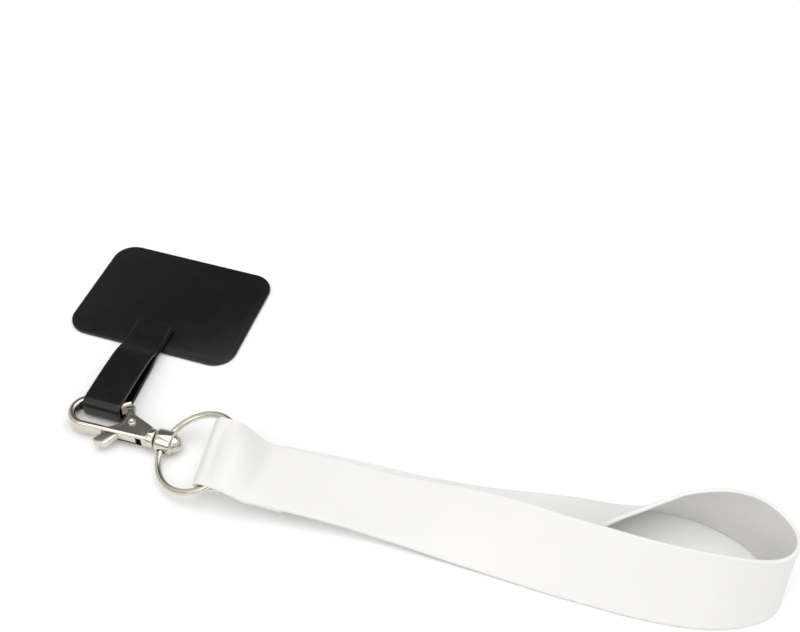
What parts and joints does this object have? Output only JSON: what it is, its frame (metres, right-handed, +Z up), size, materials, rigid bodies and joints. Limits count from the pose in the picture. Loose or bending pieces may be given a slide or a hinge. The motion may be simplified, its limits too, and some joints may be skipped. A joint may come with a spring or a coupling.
{
  "type": "phone wrist lanyard",
  "caption": "Flat woven wrist strap on a wire ring, with a swivel trigger hook and a soft black tether tab whose flat patch slips inside a phone case.",
  "frame": {"origin": "middle of the object's box in plan, on the surface it lies on", "axes": "+X from the hook towards the far end of the wrist loop, +Y towards the side the tether patch is on, +Z up"},
  "size_m": [0.1944, 0.079, 0.0184],
  "materials": {
    "white_satin_polyester": "satin-woven polyester webbing, soft sheen",
    "nickel_plate": "polished nickel plate on zinc casting and steel wire",
    "black_polyurethane": "semi-matt black polyurethane sheet"
  },
  "bodies": {
    "strap_and_ring": {"wrist_strap": "white_satin_polyester", "ring": "nickel_plate", "swivel_eye": "nickel_plate"},
    "hook_and_tether": {"clasp_body": "nickel_plate", "clasp_rivet": "nickel_plate", "tether_tab": "black_polyurethane", "anchor_patch": "black_polyurethane"},
    "trigger": {"trigger_lever": "nickel_plate"}
  },
  "joints": [
    {"name": "swivel", "type": "hinge", "parent": "strap_and_ring", "child": "hook_and_tether", "pos_m": [-0.05688, -0.02547, 0.00305], "axis": [0.9998, 0.0175, 0], "continuous": true},
    {"name": "trigger_pivot", "type": "hinge", "parent": "hook_and_tether", "child": "trigger", "pos_m": [-0.06301, -0.02368, 0.00305], "axis": [0, 0, 1], "range_deg": [0, 22], "stiffness_Nm_per_rad": 0.006, "springref_deg": -45.84}
  ]
}
